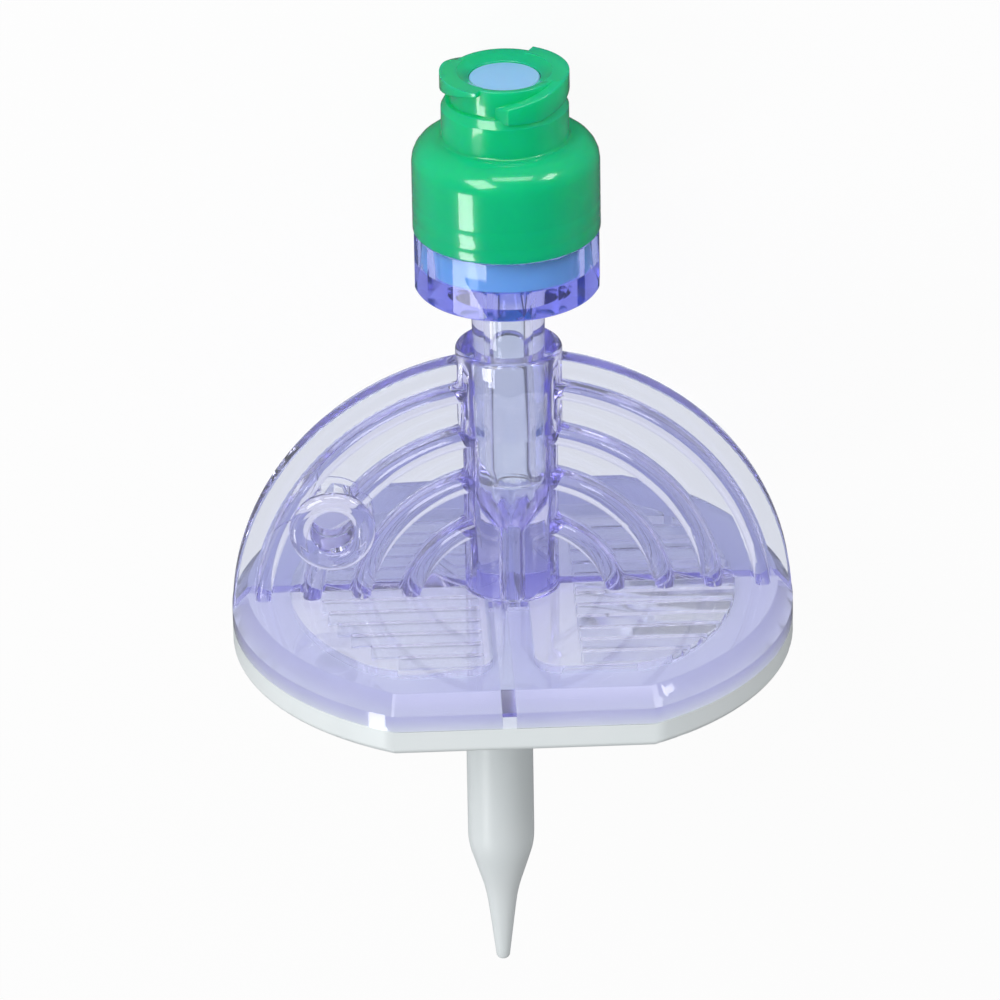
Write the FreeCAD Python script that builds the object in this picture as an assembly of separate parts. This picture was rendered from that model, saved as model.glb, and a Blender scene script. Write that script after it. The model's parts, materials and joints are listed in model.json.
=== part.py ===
import FreeCAD, Part
import math
import os

# Dispensing spike for drawing fluid from a vial or bottle, lying on its back.
# It is drawn upright first, in millimetres: the tube's axis is Z, the lid's top face is z = 0,
# the valve is up, the spike is down and the ribbed side of the grip faces -Y.
# The last section lays it down on its plate and valve, as it comes to rest.

Vector = FreeCAD.Vector

# Plate outline, shared by the lid and the base
plate_radius = 17.4
plate_flat_span = 31.0

# Lid of the grip cover
lid_thickness = 2.15
lid_bevel_height = 1.1
lid_bevel_width = 0.95
lid_edge_radius = 0.12

# Base under the lid
base_thickness = 1.58
base_edge_radius = 0.4

# Grip wall standing on the lid
wall_thickness = 1.4
wall_edge_inset = 0.05
wall_centre_drop = 1.7
wall_edge_radius = 0.15

# Finger ribs on the front of the wall, all round the wall's centre
rib_first_radius = 6.55
rib_pitch = 3.0
rib_count = 4
rib_width = 1.15
outer_rib_width = 0.95
rib_height = 1.25
rib_root_radius = 0.2

# Ring boss with a through hole, for a tether or a hook
ring_x = -11.1
ring_z = 4.8
ring_radius = 2.65
ring_hole_radius = 1.35
ring_front_height = 1.8
ring_back_height = 0.15
ring_lip_radius = 0.55
ring_back_edge_radius = 0.1

# Tube with the female luer socket
tube_radius = 2.97
tube_height = 11.0
collar_radius = 3.28
collar_length = 5.25
collar_edge_radius = 0.3
tube_root_radius = 0.15
luer_slope = 0.03
luer_clearance = 0.01
socket_bottom_z = 6.8
funnel_depth = 2.7
fluid_hole_radius = 0.5

# Air chambers in the lid's underside, one on each side of the middle
chamber_radius = 13.8
chamber_flat_span = 22.3
chamber_left_x = -1.6
chamber_right_x = 0.85
chamber_inner_corner = 1.8
chamber_outer_corner = 5.0
chamber_depth = 1.4
support_pitch = 1.55
support_width = 0.42
support_left_gap = 0.75
support_right_gap = 3.1
support_left_end_radius = 11.75
filter_gap = 0.1

# Air way between the chambers and the plate's front edge
vent_x = -0.9
vent_width = 0.86
vent_depth = 0.8
vent_inner_y = -1.7
vent_port_y = -2.33
vent_port_width = 0.8

# Air filters on the base's raised fields
field_height = 0.3
field_clearance = 0.15
filter_thickness = 0.2
groove_depth = 0.4
groove_width = 0.9
groove_land = 0.4
cross_groove_y = 2.6

# Spike under the base
spike_x = -0.95
spike_radius = 2.09
spike_length = 23.2
spike_root_radius = 0.5
taper_length = 8.5
taper_shoulder_radius = 5.0
waist_height = 5.0
waist_radius = 1.0
waist_curve_radius = 9.0
tip_radius = 0.4
tip_edge_radius = 0.3
fluid_lumen_radius = 0.55
air_lumen_radius = 0.42
air_lumen_x = -2.2
fluid_eye_length = 1.9
fluid_eye_width = 0.9
air_eye_length = 1.2
air_eye_width = 0.66
eye_sill = 0.1
eye_rise = 0.7

# Needle-free valve: lower housing with the male luer
male_tip_z = 7.4
male_tip_radius = 1.93
male_lumen_radius = 0.95
male_tip_edge = 0.2
valve_bottom_z = 20.25
skirt_height = 3.9
valve_radius = 5.72
skirt_sides = 16
skirt_turn = 7.5
skirt_wall = 0.75
skirt_bottom_radius = 0.45
skirt_floor = 1.3
hub_root_radius = 0.3

# Needle-free valve: green cap with the female luer lock
cap_body_height = 6.05
cap_shoulder_radius = 1.6
cap_wall = 1.1
cap_roof = 0.9
neck_radius = 3.88
neck_root_radius = 0.2
neck_height = 2.0
neck_bevel_height = 0.5
neck_bevel_width = 0.26
thread_core_radius = 3.35
thread_length = 1.75
thread_crest_radius = 3.93
thread_lead = 5.0
thread_root_width = 1.75
thread_crest_width = 1.5
thread_turn = 164.0
thread_ramp_turn = 13.0
thread_start_angle = -103.0
thread_starts = 2
thread_middle_rise = -0.07
mouth_dish_radius = 3.0
mouth_dish_depth = 0.35
cap_edge_radius = 0.15

# Needle-free valve: elastic seal
seal_stem_radius = 2.15
seal_stem_clearance = 0.04
seal_rim_clearance = 0.05
seal_flange_height = 2.1
seal_wall = 0.85
seal_septum_thickness = 2.6
seal_mouth_recess = 0.05
seal_cone_height = 3.2

# Heights that follow from the sizes above
seam_z = -lid_thickness
bottom_z = seam_z - base_thickness
wall_centre_z = -wall_centre_drop
wall_front_y = -wall_thickness / 2
wall_radius = plate_radius - wall_edge_inset
collar_top_z = tube_height + collar_length
chamber_roof_z = seam_z + chamber_depth
field_top_z = seam_z + field_height
filter_top_z = field_top_z + filter_thickness
skirt_top_z = valve_bottom_z + skirt_height
skirt_floor_z = valve_bottom_z + skirt_floor
cap_top_z = skirt_top_z + cap_body_height
neck_bevel_z = cap_top_z + neck_height
thread_low_z = neck_bevel_z + neck_bevel_height
mouth_z = thread_low_z + thread_length
flange_radius = valve_radius - skirt_wall - seal_rim_clearance
flange_bottom_z = skirt_top_z - seal_flange_height
septum_z = mouth_z - mouth_dish_depth - seal_mouth_recess


def outline_face(points, place):
    """Face of a closed outline whose corners (u, v, radius) are rounded by tangent arcs."""
    corners = []
    count = len(points)
    for index, (u, v, radius) in enumerate(points):
        corner = Vector(u, v, 0)
        before = Vector(points[index - 1][0], points[index - 1][1], 0)
        after = Vector(points[(index + 1) % count][0], points[(index + 1) % count][1], 0)
        if radius <= 0:
            corners.append((corner, None, corner))
            continue
        to_before = (before - corner).normalize()
        to_after = (after - corner).normalize()
        half_angle = to_before.getAngle(to_after) / 2
        reach = radius / math.tan(half_angle)
        bisector = (to_before + to_after).normalize()
        middle = corner + bisector * (radius / math.sin(half_angle) - radius)
        corners.append((corner + to_before * reach, middle, corner + to_after * reach))
    edges = []
    for index, (start, middle, end) in enumerate(corners):
        if middle is not None:
            edges.append(Part.Arc(place(start), place(middle), place(end)).toShape())
        following = corners[(index + 1) % count][0]
        if end.distanceToPoint(following) > 1e-6:
            edges.append(Part.LineSegment(place(end), place(following)).toShape())
    return Part.Face(Part.Wire(edges))


def in_xz(point):
    """Point of an outline drawn in the XZ plane, as radius and height."""
    return Vector(point.x, 0, point.y)


def in_yz(point):
    """Point of an outline drawn in the YZ plane."""
    return Vector(0, point.x, point.y)


def turned(points):
    """Solid of a (radius, height, corner radius) outline turned round the tube's axis."""
    return outline_face(points, in_xz).revolve(Vector(0, 0, 0), Vector(0, 0, 1), 360)


def turned_about_y(points, centre_x, centre_z):
    """Solid of a (radius, y, corner radius) outline turned round an axis along Y."""
    def place(point):
        return Vector(centre_x + point.x, point.y, centre_z)
    face = outline_face(points, place)
    return face.revolve(Vector(centre_x, 0, centre_z), Vector(0, 1, 0), 360)


def rod(radius, start_z, end_z, x=0.0, y=0.0):
    """Upright cylinder between two heights."""
    return Part.makeCylinder(radius, end_z - start_z, Vector(x, y, start_z))


def block(x_range, y_range, z_range):
    """Box between two corners given as ranges."""
    size = [high - low for low, high in (x_range, y_range, z_range)]
    corner = Vector(x_range[0], y_range[0], z_range[0])
    return Part.makeBox(size[0], size[1], size[2], corner)


def joined(shapes):
    """One solid of shapes that run into each other."""
    return shapes[0].multiFuse(shapes[1:]).removeSplitter()


def plate(section):
    """Round plate with a flat front and back, whose edge follows (inset, z, radius) points."""
    half_flat = plate_flat_span / 2
    low = section[0][1]
    high = section[-1][1]
    round_points = [(0, low, 0)]
    round_points += [(plate_radius - inset, z, radius) for inset, z, radius in section]
    round_points += [(0, high, 0)]
    right_side = [(half_flat - inset, z, radius) for inset, z, radius in section]
    left_side = [(inset - half_flat, z, radius) for inset, z, radius in reversed(section)]
    bar = outline_face(right_side + left_side, in_yz)
    bar.translate(Vector(-plate_radius - 1, 0, 0))
    return turned(round_points).common(bar.extrude(Vector(2 * plate_radius + 2, 0, 0)))


def chamber_block(side, inset, low_z, high_z):
    """Prism of one air chamber's outline, drawn in by inset; side is -1 left, 1 right."""
    inner_x = chamber_left_x - inset if side < 0 else chamber_right_x + inset
    outer_x = side * (chamber_radius + 1)
    half_span = chamber_flat_span / 2 - inset
    x_range = (min(inner_x, outer_x), max(inner_x, outer_x))
    prism = rod(chamber_radius - inset, low_z, high_z)
    prism = prism.common(block(x_range, (-half_span, half_span), (low_z, high_z)))
    inner_edges = []
    outer_edges = []
    for edge in prism.Edges:
        bounds = edge.BoundBox
        if bounds.ZLength < (high_z - low_z) / 2:
            continue
        if abs(edge.CenterOfMass.x - inner_x) < 1e-4:
            inner_edges.append(edge)
        elif abs(abs(edge.CenterOfMass.y) - half_span) < 1e-4:
            outer_edges.append(edge)
    prism = prism.makeFillet(chamber_inner_corner - inset, inner_edges)
    corners = []
    for edge in prism.Edges:
        if edge.BoundBox.ZLength < (high_z - low_z) / 2:
            continue
        for kept in outer_edges:
            if edge.CenterOfMass.distanceToPoint(kept.CenterOfMass) < 1e-4:
                corners.append(edge)
    return prism.makeFillet(chamber_outer_corner - inset, corners)


def support_ribs(side):
    """Low ribs on a chamber's roof that hold the filter down, with rounded ends."""
    bottom_z = filter_top_z + filter_gap
    half_width = support_width / 2
    half_rows = int(chamber_flat_span / 2 / support_pitch)
    ribs = []
    for row in range(-half_rows, half_rows + 1):
        y = row * support_pitch
        if abs(y) > chamber_flat_span / 2 - support_pitch:
            continue
        if side < 0:
            inner_x = chamber_left_x - support_left_gap
            outer_x = -math.sqrt(support_left_end_radius ** 2 - y ** 2)
        else:
            inner_x = chamber_right_x + support_right_gap
            outer_x = chamber_radius
        low_x = min(inner_x, outer_x)
        high_x = max(inner_x, outer_x)
        z_range = (bottom_z, chamber_roof_z)
        ribs.append(block((low_x, high_x), (y - half_width, y + half_width), z_range))
        ribs.append(rod(half_width, bottom_z, chamber_roof_z, inner_x, y))
        if side < 0:
            ribs.append(rod(half_width, bottom_z, chamber_roof_z, outer_x, y))
    return joined(ribs)


def chamber_recess(side):
    """Space of one air chamber, with its support ribs left standing."""
    return chamber_block(side, 0, seam_z, chamber_roof_z).cut(support_ribs(side))


def vent_way():
    """Groove from the plate's front edge to the middle, and the port to both chambers."""
    half_width = vent_width / 2
    top_z = seam_z + vent_depth
    groove = block((vent_x - half_width, vent_x + half_width), (-plate_radius, vent_inner_y), (seam_z, top_z))
    end = rod(half_width, seam_z, top_z, vent_x, vent_inner_y)
    half_port = vent_port_width / 2
    port_x = (chamber_left_x - support_left_gap / 2, chamber_right_x + support_left_gap / 2)
    port = block(port_x, (vent_port_y - half_port, vent_port_y + half_port), (seam_z, top_z))
    return joined([groove, end, port])


def male_radius(z):
    """Radius of the male luer cone at a height."""
    return male_tip_radius + luer_slope * (z - male_tip_z)


def grip_wall():
    """Half disc that the fingers hold, with softened edges."""
    half = wall_thickness / 2
    edge = wall_edge_radius
    points = [(0, -half, 0), (wall_radius, -half, edge), (wall_radius, half, edge), (0, half, 0)]
    disc = turned_about_y(points, 0, wall_centre_z)
    span = wall_radius + 1
    return disc.common(block((-span, span), (-span, span), (-lid_bevel_height, span)))


def finger_rib(index):
    """One half-round rib on the wall's front, flared where it meets the wall."""
    radius = rib_first_radius + index * rib_pitch
    half = (outer_rib_width if index == rib_count - 1 else rib_width) / 2
    tip_y = wall_front_y - rib_height
    foot = half + 2 * rib_root_radius
    nose = half * 0.98
    points = [
        (radius - foot, 0, 0), (radius - foot, wall_front_y, 0),
        (radius - half, wall_front_y, rib_root_radius), (radius - half, tip_y, nose),
        (radius + half, tip_y, nose), (radius + half, wall_front_y, rib_root_radius),
        (radius + foot, wall_front_y, 0), (radius + foot, 0, 0),
    ]
    ring = turned_about_y(points, 0, wall_centre_z)
    span = wall_radius + 1
    return ring.common(block((-span, span), (-span, span), (chamber_roof_z / 2, span)))


def ring_boss():
    """Round boss on the wall, its front lip rounded like a bead."""
    front_y = wall_front_y - ring_front_height
    back_y = wall_thickness / 2 + ring_back_height
    points = [
        (0, front_y, 0), (ring_radius, front_y, ring_lip_radius),
        (ring_radius, back_y, ring_back_edge_radius), (0, back_y, 0),
    ]
    return turned_about_y(points, ring_x, ring_z)


def ring_hole():
    """Through hole of the ring boss, with a rounded front mouth."""
    front_y = wall_front_y - ring_front_height
    back_y = wall_thickness / 2 + ring_back_height
    mouth = ring_hole_radius + ring_lip_radius
    points = [
        (0, front_y - 1, 0), (mouth, front_y - 1, 0), (mouth, front_y, 0),
        (ring_hole_radius, front_y, ring_lip_radius), (ring_hole_radius, back_y + 1, 0), (0, back_y + 1, 0),
    ]
    return turned_about_y(points, ring_x, ring_z)


def luer_tube():
    """Tube and collar, before the bore is cut."""
    return turned([
        (0, chamber_roof_z / 2, 0), (tube_radius + 1, chamber_roof_z / 2, 0),
        (tube_radius + 1, 0, 0), (tube_radius, 0, tube_root_radius), (tube_radius, tube_height, 0),
        (collar_radius, tube_height, 0), (collar_radius, collar_top_z, collar_edge_radius),
        (0, collar_top_z, 0),
    ])


def luer_bore():
    """Tapered luer socket, its funnel and the fluid hole through the lid."""
    bottom_radius = male_radius(socket_bottom_z) + luer_clearance
    top_radius = male_radius(collar_top_z) + luer_clearance
    funnel_z = socket_bottom_z - funnel_depth
    return turned([
        (0, seam_z - 1, 0), (fluid_hole_radius, seam_z - 1, 0), (fluid_hole_radius, funnel_z, 0),
        (bottom_radius, socket_bottom_z, 0), (top_radius, collar_top_z, 0),
        (top_radius, collar_top_z + 1, 0), (0, collar_top_z + 1, 0),
    ])


def grip_cover():
    """Clear moulding: lid, grip wall, ribs, ring boss and luer tube in one piece."""
    lid = plate([
        (0, seam_z, 0), (0, -lid_bevel_height, 0), (lid_bevel_width, 0, lid_edge_radius),
        (plate_flat_span / 2 - 1, 0, 0),
    ])
    pieces = [lid, grip_wall(), ring_boss(), luer_tube()]
    pieces += [finger_rib(index) for index in range(rib_count)]
    body = joined(pieces)
    for space in (luer_bore(), ring_hole(), chamber_recess(-1), chamber_recess(1), vent_way()):
        body = body.cut(space)
    return body


def spike_shaft():
    """Shaft, taper and rounded tip of the spike, with the root that blends into the base."""
    root = spike_radius + 2 * spike_root_radius
    tip_z = bottom_z - spike_length
    shaft = turned([
        (0, bottom_z + base_thickness / 2, 0), (root, bottom_z + base_thickness / 2, 0),
        (root, bottom_z, 0), (spike_radius, bottom_z, spike_root_radius),
        (spike_radius, tip_z + taper_length, taper_shoulder_radius),
        (waist_radius, tip_z + waist_height, waist_curve_radius),
        (tip_radius, tip_z, tip_edge_radius), (0, tip_z, 0),
    ])
    shaft.translate(Vector(spike_x, 0, 0))
    return shaft


def spike_lumens():
    """Fluid and air lumens, each ending in an eye in the back of the spike."""
    eye_top_z = bottom_z - spike_length + taper_length + eye_rise
    lumens = []
    ways = (
        (0.0, fluid_lumen_radius, seam_z, fluid_eye_length, fluid_eye_width),
        (air_lumen_x, air_lumen_radius, field_top_z, air_eye_length, air_eye_width),
    )
    for x, radius, top_z, length, width in ways:
        low_z = eye_top_z - length
        half = width / 2
        corners = [
            (x - half, low_z, half), (x + half, low_z, half),
            (x + half, eye_top_z, half), (x - half, eye_top_z, half),
        ]
        lumens.append(rod(radius, low_z - eye_sill, top_z, x))
        lumens.append(outline_face(corners, in_xz).extrude(Vector(0, 2 * spike_radius, 0)))
    return lumens


def air_grooves(side):
    """Grooves under one filter: a row of furrows and the collector that joins them."""
    inset = field_clearance + groove_land
    inner_x = chamber_left_x - inset if side < 0 else chamber_right_x + inset
    collector_x = sorted((inner_x, inner_x + side * groove_width))
    low_z = field_top_z - groove_depth
    span = chamber_flat_span / 2
    reach = sorted((inner_x, side * chamber_radius))
    shapes = [block(collector_x, (-span, span), (low_z, field_top_z))]
    half_rows = int(span / support_pitch)
    for row in range(-half_rows, half_rows):
        y = (row + 0.5) * support_pitch
        shapes.append(block(reach, (y - groove_width / 2, y + groove_width / 2), (low_z, field_top_z)))
    return joined(shapes).common(chamber_block(side, inset, low_z, field_top_z))


def spike_base():
    """White moulding: the plate, the raised filter fields and the spike with its lumens."""
    disc = plate([
        (0, bottom_z, base_edge_radius), (0, seam_z, 0), (plate_flat_span / 2 - 1, seam_z, 0),
    ])
    fields = [chamber_block(side, field_clearance, seam_z - field_height, field_top_z) for side in (-1, 1)]
    body = joined([disc, spike_shaft()] + fields)
    inset = field_clearance + groove_land
    cross_x = (chamber_left_x - inset - groove_width / 2, chamber_right_x + inset + groove_width / 2)
    cross_y = (cross_groove_y - groove_width / 2, cross_groove_y + groove_width / 2)
    cross = block(cross_x, cross_y, (field_top_z - groove_depth - field_height, field_top_z))
    return body.cut([air_grooves(-1), air_grooves(1), cross] + spike_lumens())


def air_filter(side):
    """Flat membrane sealed to one raised field of the base."""
    return chamber_block(side, field_clearance, field_top_z, filter_top_z)


def valve_base():
    """Lower housing of the valve: faceted skirt, floor and male luer in one piece."""
    hub = male_radius(valve_bottom_z)
    tip_wall = male_tip_radius - male_tip_edge
    inner = valve_radius - skirt_wall
    body = turned([
        (male_lumen_radius, male_tip_z, 0), (tip_wall, male_tip_z, 0),
        (male_radius(male_tip_z + male_tip_edge), male_tip_z + male_tip_edge, 0),
        (hub, valve_bottom_z, hub_root_radius), (valve_radius, valve_bottom_z, skirt_bottom_radius),
        (valve_radius, skirt_top_z, 0), (inner, skirt_top_z, 0),
        (inner, flange_bottom_z, 0), (seal_stem_radius, flange_bottom_z, 0),
        (seal_stem_radius, skirt_floor_z, 0), (male_lumen_radius, skirt_floor_z, 0),
    ])
    corners = []
    for side in range(skirt_sides):
        angle = math.radians(-90 + skirt_turn + side * 360 / skirt_sides)
        corners.append(Vector(valve_radius * math.cos(angle), valve_radius * math.sin(angle), male_tip_z - 1))
    corners.append(corners[0])
    prism = Part.Face(Part.makePolygon(corners)).extrude(Vector(0, 0, skirt_top_z - male_tip_z + 2))
    return body.common(prism)


def thread_lug(start_angle):
    """One start of the luer-lock thread: a helical ridge that ramps up and ends square."""
    section_centre = thread_low_z + thread_middle_rise
    half_root = thread_root_width / 2
    half_crest = thread_crest_width / 2
    root = thread_core_radius - 0.5
    sections = []
    steps = 6
    full_turn = thread_turn - thread_ramp_turn
    turns = [0] + [thread_ramp_turn + full_turn * step / steps for step in range(steps + 1)]
    for turn in turns:
        crest = thread_crest_radius if turn else thread_core_radius
        angle = math.radians(start_angle + turn)
        rise = section_centre + thread_lead * turn / 360
        wire = []
        for radius, height in ((root, -half_root), (crest, -half_crest), (crest, half_crest), (root, half_root)):
            wire.append(Vector(radius * math.cos(angle), radius * math.sin(angle), rise + height))
        wire.append(wire[0])
        sections.append(Part.makePolygon(wire))
    return Part.makeLoft(sections, True, False)


def valve_cap():
    """Green cap: body over the seal, neck and female luer lock in one piece."""
    inner = valve_radius - cap_wall
    bore = seal_stem_radius + seal_stem_clearance
    roof_z = cap_top_z - cap_roof
    shell = turned([
        (inner, skirt_top_z, 0), (valve_radius, skirt_top_z, cap_edge_radius),
        (valve_radius, cap_top_z, cap_shoulder_radius), (neck_radius, cap_top_z, neck_root_radius),
        (neck_radius, neck_bevel_z, 0), (neck_radius - neck_bevel_width, thread_low_z, 0),
        (thread_core_radius, thread_low_z, 0),
        (thread_core_radius, mouth_z, 0), (mouth_dish_radius, mouth_z, 0),
        (bore, mouth_z - mouth_dish_depth, 0), (bore, roof_z, 0),
        (inner, roof_z, cap_shoulder_radius - cap_edge_radius),
    ])
    lugs = []
    for start in range(thread_starts):
        lugs.append(thread_lug(thread_start_angle + start * 360 / thread_starts))
    limit = rod(valve_radius, thread_low_z - cap_edge_radius, mouth_z)
    limit = limit.cut(rod((bore + thread_core_radius) / 2, thread_low_z - 1, mouth_z + 1))
    return joined([shell] + [lug.common(limit) for lug in lugs])


def valve_seal():
    """Elastic seal: clamped flange, cone and stem with the closed septum at its top."""
    hollow = seal_stem_radius - seal_wall
    cone_z = skirt_top_z + seal_cone_height
    cone_foot = flange_radius - seal_wall
    return turned([
        (seal_stem_radius, flange_bottom_z, 0), (flange_radius, flange_bottom_z, 0),
        (flange_radius, skirt_top_z, 0), (cone_foot, skirt_top_z, 0),
        (seal_stem_radius, cone_z, seal_wall), (seal_stem_radius, septum_z, 0), (0, septum_z, 0),
        (0, septum_z - seal_septum_thickness, 0), (hollow, septum_z - seal_septum_thickness, 0),
        (hollow, cone_z - seal_wall, 0), (seal_stem_radius, skirt_top_z - seal_wall, 0),
    ])


def resting_placement(parts):
    """Placement that lays the part on the plate's back edge and the cap's shoulder."""
    edge = Vector(0, plate_flat_span / 2, -lid_bevel_height)
    shoulder = Vector(0, valve_radius - cap_shoulder_radius, cap_top_z - cap_shoulder_radius)
    run = shoulder - edge
    line_angle = math.atan2(-run.y, run.z)
    lean = line_angle - math.asin(cap_shoulder_radius / run.Length)
    tip_over = FreeCAD.Rotation(Vector(1, 0, 0), -90 - math.degrees(lean))
    face_front = FreeCAD.Rotation(Vector(0, 0, 1), 180)
    turn = face_front.multiply(tip_over)
    floor_z = turn.multVec(edge).z
    group = Part.makeCompound(list(parts.values()))
    group.Placement = FreeCAD.Placement(Vector(0, 0, 0), turn)
    bounds = group.optimalBoundingBox(False, False)
    middle = bounds.Center
    return FreeCAD.Placement(Vector(-middle.x, -middle.y, -floor_z), turn)


def build():
    """All pieces upright, by the name of their node."""
    return {
        "spike_base": spike_base(),
        "grip_cover": grip_cover(),
        "air_filter_left": air_filter(-1),
        "air_filter_right": air_filter(1),
        "valve_base": valve_base(),
        "valve_seal": valve_seal(),
        "valve_cap": valve_cap(),
    }


def main():
    """Build the pieces, lay them down and write one STEP file for each."""
    parts = build()
    placement = resting_placement(parts)
    os.makedirs("parts", exist_ok=True)
    for name, shape in parts.items():
        laid = shape.copy()
        laid.Placement = placement.multiply(laid.Placement)
        laid.exportStep("parts/" + name + ".step")
        print(name, "solids", len(laid.Solids), "valid", laid.isValid(), "volume", round(laid.Volume, 2))


main()
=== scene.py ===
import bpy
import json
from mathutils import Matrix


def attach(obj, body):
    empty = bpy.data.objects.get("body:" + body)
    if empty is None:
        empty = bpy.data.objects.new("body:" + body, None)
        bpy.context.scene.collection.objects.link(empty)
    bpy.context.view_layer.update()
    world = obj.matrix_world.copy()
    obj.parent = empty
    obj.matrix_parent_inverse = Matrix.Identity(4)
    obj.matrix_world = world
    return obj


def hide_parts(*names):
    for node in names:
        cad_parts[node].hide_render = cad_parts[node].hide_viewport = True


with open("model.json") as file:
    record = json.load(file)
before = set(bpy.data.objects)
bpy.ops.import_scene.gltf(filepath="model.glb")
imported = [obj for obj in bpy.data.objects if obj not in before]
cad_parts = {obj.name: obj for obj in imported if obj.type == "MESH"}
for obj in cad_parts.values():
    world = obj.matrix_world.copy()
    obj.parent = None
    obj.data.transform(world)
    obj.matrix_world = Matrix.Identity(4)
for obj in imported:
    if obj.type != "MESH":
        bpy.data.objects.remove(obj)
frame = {"nodes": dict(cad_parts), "record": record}
"""Vented dispensing spike with a ribbed grip and a needle-free valve, lying on its back.

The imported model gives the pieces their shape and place. This script dresses them as clear,
translucent and opaque mouldings, models the threaded valve cap and the seal anew with finer
detail, and sets up the studio and the camera. New pieces are drawn upright in millimetres, in
the frame whose origin is where the tube meets the lid, and are then laid into the model's frame.
"""
import json
import logging
import math
from dataclasses import dataclass, field
from enum import Enum
from typing import Dict, List, NamedTuple, Sequence, Tuple

import bmesh
import bpy
from mathutils import Matrix, Vector

LOG = logging.getLogger("dispensing_spike")
MM = 0.001
BODY = "root"

Colour = Tuple[float, float, float]


class Corner(NamedTuple):
    """A corner of a section, in upright millimetres, with the radius that rounds it."""

    radius: float
    height: float
    rounding: float = 0.0


class Smoothing(Enum):
    """Largest angle, in degrees, that still shades as one smooth surface."""

    CURVED = 33.0
    FACETED = 17.0


@dataclass(frozen=True)
class Upright:
    """The upright frame of the part, in millimetres: its origin is where the tube meets the lid."""

    mouth_height: float = 34.45

    def turn(self) -> Matrix:
        """Read the frame's place from the luer mount.

        Returns:
            The matrix from upright millimetres to the frame's metres.
        """
        mount = next(m for m in frame["record"]["mounts"] if m["name"] == "luer_lock")
        up = Vector(mount["axis"]).normalized()
        right = Vector((-1.0, 0.0, 0.0))
        back = up.cross(right)
        origin = Vector(mount["pos_m"]) - up * self.mouth_height * MM
        turn = Matrix((right, back, up)).transposed().to_4x4()
        turn.translation = origin
        return turn @ Matrix.Scale(MM, 4)

    def place(self, point: Sequence[float]) -> Vector:
        """A point of the upright frame, in the frame's metres."""
        return self.turn() @ Vector(point)

    def heading(self, direction: Sequence[float]) -> Vector:
        """A direction of the upright frame, in the frame's axes."""
        return (self.turn().to_3x3() @ Vector(direction)).normalized()


UPRIGHT = Upright()


def node_of(material: bpy.types.Material, kind: str, place: Tuple[float, float]) -> bpy.types.Node:
    """Add a shader node to a material.

    Args:
        material: The material that gets the node.
        kind: The node's Blender type name.
        place: Where the node sits in the editor.

    Returns:
        The new node.
    """
    node = material.node_tree.nodes.new(kind)
    node.location = place
    return node


class SurfaceGrain:
    """Shader node group with the slow waviness and fine mottle of a moulded surface."""

    NAME = "moulded_grain"
    INPUTS = (("Wave Scale", 300.0), ("Grain Scale", 4000.0), ("Grain Share", 0.3))
    DETAIL = 1.0

    @classmethod
    def group(cls) -> bpy.types.NodeTree:
        """Make the group at its first use.

        Returns:
            The node group.
        """
        found = bpy.data.node_groups.get(cls.NAME)
        if found:
            return found
        tree = bpy.data.node_groups.new(cls.NAME, "ShaderNodeTree")
        for name, default in cls.INPUTS:
            socket = tree.interface.new_socket(name, in_out="INPUT", socket_type="NodeSocketFloat")
            socket.default_value = default
        tree.interface.new_socket("Height", in_out="OUTPUT", socket_type="NodeSocketFloat")
        tree.interface.new_socket("Mottle", in_out="OUTPUT", socket_type="NodeSocketFloat")
        start = tree.nodes.new("NodeGroupInput")
        end = tree.nodes.new("NodeGroupOutput")
        coords = tree.nodes.new("ShaderNodeTexCoord")
        wave = tree.nodes.new("ShaderNodeTexNoise")
        grain = tree.nodes.new("ShaderNodeTexNoise")
        for noise in (wave, grain):
            noise.inputs["Detail"].default_value = cls.DETAIL
        share = tree.nodes.new("ShaderNodeMix")
        links = tree.links
        links.new(coords.outputs["Object"], wave.inputs["Vector"])
        links.new(coords.outputs["Object"], grain.inputs["Vector"])
        links.new(start.outputs["Wave Scale"], wave.inputs["Scale"])
        links.new(start.outputs["Grain Scale"], grain.inputs["Scale"])
        links.new(start.outputs["Grain Share"], share.inputs["Factor"])
        links.new(wave.outputs["Fac"], share.inputs["A"])
        links.new(grain.outputs["Fac"], share.inputs["B"])
        links.new(share.outputs["Result"], end.inputs["Height"])
        links.new(wave.outputs["Fac"], end.inputs["Mottle"])
        return tree


class HeightZone:
    """Shader node group that tells a piece's upper zone from its lower one, 1 above and 0 below."""

    NAME = "height_zone"

    @classmethod
    def group(cls) -> bpy.types.NodeTree:
        """Make the group at its first use.

        Returns:
            The node group.
        """
        found = bpy.data.node_groups.get(cls.NAME)
        if found:
            return found
        tree = bpy.data.node_groups.new(cls.NAME, "ShaderNodeTree")
        for name in ("Low", "High"):
            tree.interface.new_socket(name, in_out="INPUT", socket_type="NodeSocketFloat")
        tree.interface.new_socket("Upper", in_out="OUTPUT", socket_type="NodeSocketFloat")
        start = tree.nodes.new("NodeGroupInput")
        end = tree.nodes.new("NodeGroupOutput")
        coords = tree.nodes.new("ShaderNodeTexCoord")
        offset = tree.nodes.new("ShaderNodeVectorMath")
        offset.operation = "SUBTRACT"
        offset.inputs[1].default_value = UPRIGHT.place((0.0, 0.0, 0.0))
        height = tree.nodes.new("ShaderNodeVectorMath")
        height.operation = "DOT_PRODUCT"
        height.inputs[1].default_value = UPRIGHT.heading((0.0, 0.0, 1.0)) / MM
        share = tree.nodes.new("ShaderNodeMapRange")
        links = tree.links
        links.new(coords.outputs["Object"], offset.inputs[0])
        links.new(offset.outputs["Vector"], height.inputs[0])
        links.new(height.outputs["Value"], share.inputs["Value"])
        links.new(start.outputs["Low"], share.inputs["From Min"])
        links.new(start.outputs["High"], share.inputs["From Max"])
        links.new(share.outputs["Result"], end.inputs["Upper"])
        return tree


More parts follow.
